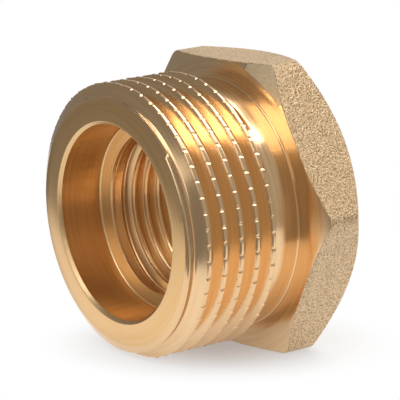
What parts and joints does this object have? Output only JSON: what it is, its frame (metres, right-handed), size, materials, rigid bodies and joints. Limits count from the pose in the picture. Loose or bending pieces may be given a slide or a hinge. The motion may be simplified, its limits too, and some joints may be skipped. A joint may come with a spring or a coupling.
{
  "type": "hex bushing",
  "caption": "One-piece brass hex bushing for pipe, with a parallel male thread outside and a smaller female thread tapped through its hexagon.",
  "frame": {"origin": "on the thread axis, in the plane of the shoulder where the mating fitting stops", "axes": "+Y along the thread axis, from the male end towards the hexagon's rear face; +Z square to the top flat of the hexagon; +X towards one of its corners"},
  "size_m": [0.0402, 0.0233, 0.0352],
  "materials": {
    "brass": "machined, with as-forged hexagon flats"
  },
  "bodies": {
    "root": {"hex_bushing": "brass"}
  },
  "joints": []
}
